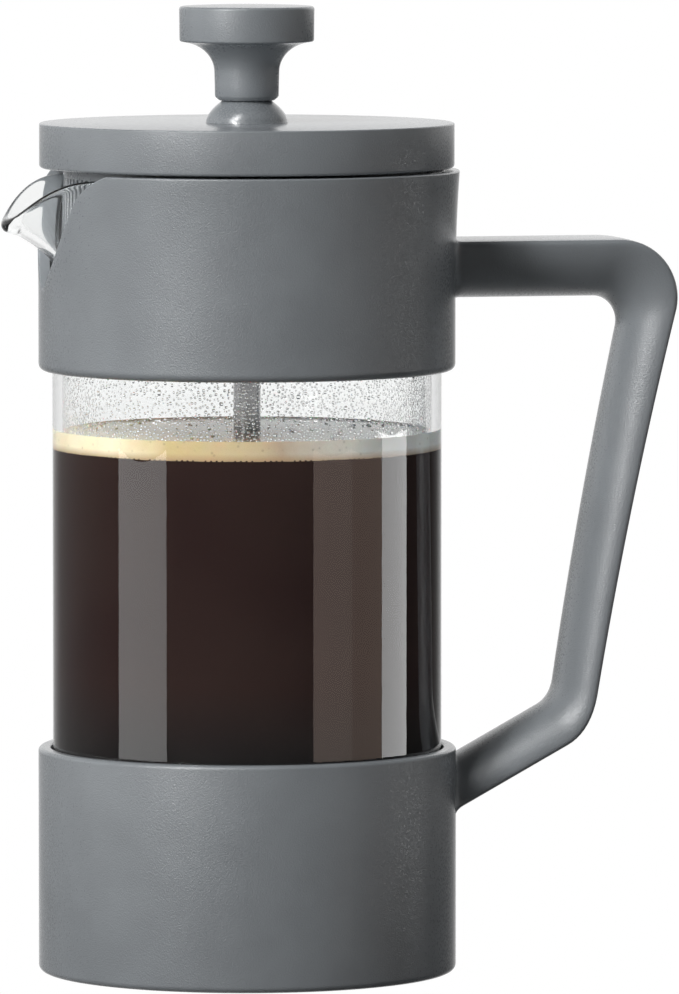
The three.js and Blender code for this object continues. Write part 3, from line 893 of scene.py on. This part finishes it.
def knob_piece():
    """The knob: a neck that sweeps out under a flat disc with a slight crown."""
    bore = 3.9 * MM
    bore_top = ROD_TOP + 0.6 * MM
    disc_bottom = 172.1 * MM
    edge = 0.2 * MM
    profile = [(0, bore_top), (bore, bore_top), (bore, KNOB_BOTTOM + edge), (bore + edge, KNOB_BOTTOM)]
    for r, rise in ((4.9, 0), (5.15, 0.1), (5.75, 0.6), (5.9, 0.9), (5.93, 3)):
        profile.append((r * MM, KNOB_BOTTOM + rise * MM))
    sweep_r, sweep_width, sweep_height = 12.4 * MM, 6.4 * MM, 5.5 * MM
    for angle in np.radians(np.linspace(0, 80, 16)):
        r = sweep_r - sweep_width * math.cos(angle)
        profile.append((r, disc_bottom - sweep_height * (1 - math.sin(angle))))
    crown = 0.3 * MM
    profile += rounded(
        [
            (11.4 * MM, disc_bottom), (KNOB_R - 0.08 * MM, disc_bottom + 0.1 * MM, 0.4 * MM),
            (KNOB_R, KNOB_TOP - crown, 0.55 * MM), (0, KNOB_TOP - crown),
        ]
    )[1:-1]
    for share in np.linspace(0.9, 0, 9):
        profile.append((KNOB_R * share, KNOB_TOP - crown * share**2))
    return piece("knob_grip", [turned(profile, 180)], LID_PLASTIC, "knob", ("knob",))


def rod_piece():
    end = 0.5 * MM
    profile = rounded([(0, ROD_BOTTOM), (ROD_R, ROD_BOTTOM, end), (ROD_R, ROD_TOP, end), (0, ROD_TOP)])
    return piece("steel_rod", [turned(profile, 64)], ROD_STEEL, "plunger", ("plunger_rod",))


def flange_piece():
    bottom, top = heights("rod_flange")
    rim = 7 * MM
    collar_top = top + 0.6 * MM
    profile = rounded(
        [
            (ROD_R + 0.02 * MM, bottom), (rim, bottom, 0.4 * MM),
            (rim, top, 0.4 * MM), (ROD_R + 1.6 * MM, top, 0.6 * MM),
            (ROD_R + 0.9 * MM, collar_top, 0.3 * MM), (ROD_R + 0.02 * MM, collar_top),
        ]
    )
    shells = [turned_ring(profile, 80)]
    return piece("crimped_flange", shells, PRESSED_STEEL, "plunger", ("rod_flange",))


PLATE_BORE = ROD_R + 0.3 * MM


def top_plate_piece():
    """The perforated plate with a rolled rim that holds the spring."""
    bottom, top = heights("top_plate")
    rim = half_width("top_plate")
    hole_rows = ((11 * MM, 8), (17 * MM, 14), (23 * MM, 20))
    hole_r = 1.5 * MM
    inner = PLATE_BORE
    shells = []
    for row_r, count in hole_rows:
        low, high = row_r - hole_r - 0.5 * MM, row_r + hole_r + 0.5 * MM
        shells.append(turned_ring([(inner, bottom), (low, bottom), (low, top), (inner, top)], 120))
        shells += pierced_band(low, high, bottom, top, count, hole_r)
        inner = high
    outer = rounded(
        [
            (inner, bottom), (rim - 1.2 * MM, bottom),
            (rim, bottom + 0.1 * MM, 0.3 * MM), (rim, top + 1.1 * MM, 0.2 * MM),
            (rim - 0.5 * MM, top + 1.1 * MM, 0.2 * MM), (rim - 0.6 * MM, top, 0.2 * MM),
            (inner, top),
        ]
    )
    shells.append(turned_ring(outer, 160))
    return piece("spring_plate", shells, PRESSED_STEEL, "filter", ("top_plate",))


def pierced_band(inner, outer, bottom, top, count, hole_r):
    """A ring of flat cells, each with one round hole through it."""
    shells = []
    middle_r = (inner + outer) / 2
    width = 2 * math.pi / count
    for i in range(count):
        centre = (i + 0.5) * width
        cell, hole = [], []
        for turn in np.linspace(0, 2 * math.pi, 24, endpoint=False):
            # The cell's own edge, met at this turn about the hole's centre.
            reach = 1 / max(abs(math.cos(turn)), abs(math.sin(turn)))
            r = middle_r + (outer - inner) / 2 * math.cos(turn) * reach
            cell.append(swung(r, 0, centre + width / 2 * math.sin(turn) * reach))
            hole.append(swung(middle_r + hole_r * math.cos(turn), hole_r * math.sin(turn), centre))
        outlines = ((cell, bottom), (cell, top), (hole, top), (hole, bottom))
        rings = [[(*point, z) for point in outline] for outline, z in outlines]
        shells.append(grid(np.array(rings), loop_rows=True))
    return shells


def edge_spring_piece():
    """A close coil of fine wire, bent into a ring."""
    coils = 150
    per_coil = 12
    ring_r = FILTER_R - (SPRING_TOP - SPRING_BOTTOM) / 2
    wire = 0.2 * MM
    coil_r = (SPRING_TOP - SPRING_BOTTOM) / 2 - wire
    middle = (SPRING_TOP + SPRING_BOTTOM) / 2
    path = []
    for i in range(coils * per_coil):
        along = 2 * math.pi * i / (coils * per_coil)
        turn = 2 * math.pi * i / per_coil
        r = ring_r + coil_r * math.cos(turn)
        path.append((r * math.cos(along), r * math.sin(along), middle + coil_r * math.sin(turn)))
    return piece("coil_spring", [wire_loop(path, wire, 5)], ROD_STEEL, "filter", ("edge_spring",))


def mesh_screen_piece():
    """The woven screen, with its edge turned up a little."""
    bottom, top = heights("mesh_screen")
    rim = half_width("mesh_screen")
    lip_top = bottom + 1.3 * MM
    profile = [
        (PLATE_BORE, bottom), (rim - 2.2 * MM, bottom),
        (rim - 1.0 * MM, bottom + 0.1 * MM), (rim - 0.25 * MM, bottom + 0.5 * MM),
        (rim, lip_top), (rim - (top - bottom), lip_top),
        (rim - 0.6 * MM, bottom + 0.8 * MM), (rim - 1.2 * MM, top + 0.12 * MM),
        (rim - 2.2 * MM, top), (PLATE_BORE, top),
    ]
    shells = [turned_ring(profile, 160)]
    return piece("woven_screen", shells, WOVEN_STEEL, "filter", ("mesh_screen",))


def cross_plate_piece():
    """A rim and a hub joined by four spokes, pressed from sheet."""
    bottom, top = heights("cross_plate")
    rim = half_width("cross_plate")
    sheet = 0.8 * MM
    hub_r = 9 * MM
    ring = rounded(
        [
            (rim - 3.5 * MM, top - sheet, 0.2 * MM), (rim - 0.9 * MM, top - sheet),
            (rim - 0.6 * MM, bottom, 0.15 * MM), (rim, bottom, 0.15 * MM),
            (rim, top, 0.5 * MM), (rim - 3.5 * MM, top, 0.2 * MM),
        ]
    )
    hub = rounded(
        [
            (PLATE_BORE, top - sheet), (hub_r, top - sheet, 0.2 * MM),
            (hub_r, top, 0.2 * MM), (PLATE_BORE, top),
        ]
    )
    shells = [turned_ring(ring, 160), turned_ring(hub, 96)]
    for i in range(4):
        shells.append(spoke(hub_r - 0.5 * MM, rim - 3 * MM, 2.6 * MM, top - sheet, top, i * math.pi / 2))
    return piece("cross_plate_pressed", shells, PRESSED_STEEL, "filter", ("cross_plate",))


def spoke(inner, outer, half, bottom, top, angle):
    """A flat bar that runs out from the axis, with its long edges rolled down."""
    edge = 0.25 * MM
    section = rounded([(-half, bottom, edge), (half, bottom, edge), (half, top, edge), (-half, top, edge)], 2)
    rings = [[(*swung(r, y, angle), z) for y, z in section] for r in (inner, outer)]
    points, faces = grid(np.array(rings))
    count = len(section)
    faces += [tuple(range(count))[::-1], tuple(count + i for i in range(count))]
    return points, faces


def hub_nut_piece():
    bottom, top = heights("hub_nut")
    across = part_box("hub_nut")[1][0]
    hole = ROD_R + 0.05 * MM
    chamfer = 0.5 * MM
    profile = [
        (hole, bottom), (across - chamfer, bottom),
        (across, bottom + chamfer / 2), (across, top - chamfer / 2),
        (across - chamfer, top), (hole, top),
    ]
    shells = [turned_ring(profile, 6)]
    return piece("hex_nut", shells, PRESSED_STEEL, "filter", ("hub_nut",), sharp=20)


knob_piece()
rod_piece()
flange_piece()
top_plate_piece()
edge_spring_piece()
mesh_screen_piece()
cross_plate_piece()
hub_nut_piece()
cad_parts["knob_insert"].data.materials.clear()
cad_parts["knob_insert"].data.materials.append(BRASS)

# ---------------------------------------------------------------- camera, floor and light

CAMERA_AZIMUTH = math.radians(-12.5)
CAMERA_DISTANCE = 1.988
CAMERA_HEIGHT = 0.2394
CAMERA_PITCH = math.radians(4.359)
CAMERA_YAW = math.radians(0.493)
LENS_MM = 390.06


def make_camera():
    data = bpy.data.cameras.new("camera")
    data.lens = LENS_MM
    data.sensor_width = 36
    data.clip_end = 100
    camera = bpy.data.objects.new("camera", data)
    camera.location = (
        math.sin(CAMERA_AZIMUTH) * CAMERA_DISTANCE,
        -math.cos(CAMERA_AZIMUTH) * CAMERA_DISTANCE,
        CAMERA_HEIGHT,
    )
    camera.rotation_euler = (math.pi / 2 - CAMERA_PITCH, 0, CAMERA_AZIMUTH - CAMERA_YAW)
    bpy.context.scene.collection.objects.link(camera)
    bpy.context.scene.camera = camera


def make_floor():
    """A wide white floor. It is invisible to mirror reflections, which see the studio beyond its edge."""
    nodes = Nodes("white_floor")
    nodes.set(Base_Color=(0.22, 0.22, 0.22, 1), Roughness=0.9, Specular_IOR_Level=0.0)
    path = nodes.add("ShaderNodeLightPath")
    seen = nodes.add("ShaderNodeMath", operation="MAXIMUM")
    nodes.link(path.outputs["Is Camera Ray"], seen.inputs[0])
    nodes.link(path.outputs["Is Transmission Ray"], seen.inputs[1])
    glow = nodes.add("ShaderNodeEmission", Color=(1, 1, 1, 1), Strength=1.0)
    nodes.blend(seen.outputs["Value"], glow.outputs["Emission"])
    half = 30
    corners = [(-half, -half, 0), (half, -half, 0), (half, half, 0), (-half, half, 0)]
    mesh = bpy.data.meshes.new("floor")
    mesh.from_pydata(corners, [], [(0, 1, 2, 3)])
    mesh.materials.append(nodes.material)
    floor = bpy.data.objects.new("floor", mesh)
    floor.visible_glossy = False
    bpy.context.scene.collection.objects.link(floor)


# How bright the studio's walls are, by the angle in degrees from the camera's side, positive to its right.
STUDIO_WALLS = (
    (-180, 1.0), (-165, 1.0), (-150, 0.6), (-76, 0.75), (-74, 0.0),
    (75, 0.0), (77, 0.35), (115, 0.4), (135, 1.3), (165, 1.2),
    (180, 1.0),
)
# The same for the studio's sweep, below the table's height.
STUDIO_SWEEP = (
    (-180, 1.0), (-172, 0.8), (-160, 0.45), (-147, 0.25), (-124, 0.2),
    (-98, 0.1), (-84, 0.04), (139, 0.03), (152, 0.15), (165, 0.5),
    (172, 0.8), (180, 1.0),
)
# The same for light that comes through the glass.
STUDIO_THROUGH_GLASS = ((-180, 1.15), (-140, 1.15), (-115, 0.15), (115, 0.15), (140, 1.15), (180, 1.15))
STUDIO_CEILING = 0.13


def make_world():
    """A white studio, dim on the camera's side. The eye sees it white all round."""
    world = bpy.data.worlds.new("studio")
    bpy.context.scene.world = world
    world.use_nodes = True
    tree = world.node_tree
    background = tree.nodes["Background"]

    def add(kind, *sources, **settings):
        node = tree.nodes.new(kind)
        for key, value in settings.items():
            setattr(node, key, value)
        for socket, source in zip(node.inputs, sources):
            feed(tree, socket, source)
        return node

    direction = add("ShaderNodeTexCoord").outputs["Generated"]
    toward_camera = (math.sin(CAMERA_AZIMUTH), -math.cos(CAMERA_AZIMUTH), 0)
    rightward = (math.cos(CAMERA_AZIMUTH), math.sin(CAMERA_AZIMUTH), 0)
    near = add("ShaderNodeVectorMath", direction, toward_camera, operation="DOT_PRODUCT").outputs["Value"]
    right = add("ShaderNodeVectorMath", direction, rightward, operation="DOT_PRODUCT").outputs["Value"]
    turn = add("ShaderNodeMath", right, near, operation="ARCTAN2").outputs["Value"]
    share = add("ShaderNodeMath", turn, 1 / (2 * math.pi), 0.5, operation="MULTIPLY_ADD").outputs["Value"]
    walls = []
    for stops in (STUDIO_WALLS, STUDIO_SWEEP, STUDIO_THROUGH_GLASS):
        ramp = add("ShaderNodeValToRGB", share)
        for _ in stops[2:]:
            ramp.color_ramp.elements.new(0.5)
        for element, (angle, level) in zip(ramp.color_ramp.elements, stops):
            element.position = angle / 360 + 0.5
            element.color = (level, level, level, 1)
        walls.append(ramp.outputs["Color"])
    up = add("ShaderNodeSeparateXYZ", direction).outputs["Z"]
    overhead = add("ShaderNodeMapRange", up, 0.3, 0.8, interpolation_type="SMOOTHSTEP").outputs["Result"]
    ceiling = (STUDIO_CEILING, STUDIO_CEILING, STUDIO_CEILING, 1)
    path = add("ShaderNodeLightPath")
    above = add("ShaderNodeMapRange", up, -0.05, 0.05).outputs["Result"]
    sides = add("ShaderNodeMixRGB", above, walls[1], walls[0]).outputs["Color"]
    around = add("ShaderNodeMixRGB", path.outputs["Is Transmission Ray"], sides, walls[2]).outputs["Color"]
    lit = add("ShaderNodeMixRGB", overhead, around, ceiling).outputs["Color"]
    seen = add("ShaderNodeMixRGB", path.outputs["Is Camera Ray"], lit, (1, 1, 1, 1)).outputs["Color"]
    tree.links.new(seen, background.inputs["Color"])


SOFTBOX_DISTANCE = 1.3


def softbox(name, first, last, bottom, top, radiance, colour=(1, 1, 1)):
    """An upright panel between two angles from the camera's side and two heights."""
    width = 2 * SOFTBOX_DISTANCE * math.tan(math.radians(last - first) / 2)
    height = top - bottom
    data = bpy.data.lights.new(name, "AREA")
    data.shape = "RECTANGLE"
    data.size = width
    data.size_y = height
    data.energy = radiance * math.pi * width * height
    data.color = colour
    light = bpy.data.objects.new(name, data)
    heading = CAMERA_AZIMUTH + math.radians((first + last) / 2)
    x, y = math.sin(heading) * SOFTBOX_DISTANCE, -math.cos(heading) * SOFTBOX_DISTANCE
    light.location = (x, y, (bottom + top) / 2)
    light.rotation_euler = (math.pi / 2, 0, heading)
    light.visible_camera = False
    bpy.context.scene.collection.objects.link(light)


make_camera()
make_floor()
make_world()
softbox("key", -44, -37, 0.30, 1.5, 25.5)
softbox("key_top", -39, -30, 0.85, 2.6, 15.5)
softbox("side", -100, -76, 0.10, 0.24, 1.5)
softbox("left_wall", -81, -48, -0.14, 0.004, 2.8)
softbox("right_wall_near", 39, 64, -0.14, 0.006, 1.5, (1, 0.8, 0.7))
softbox("right_wall_far", 64, 86, -0.14, 0.006, 1.2, (1, 0.76, 0.64))
softbox("right_sweep", 86, 108, -0.14, 0.011, 5.0)
bpy.context.scene.view_settings.view_transform = "Standard"
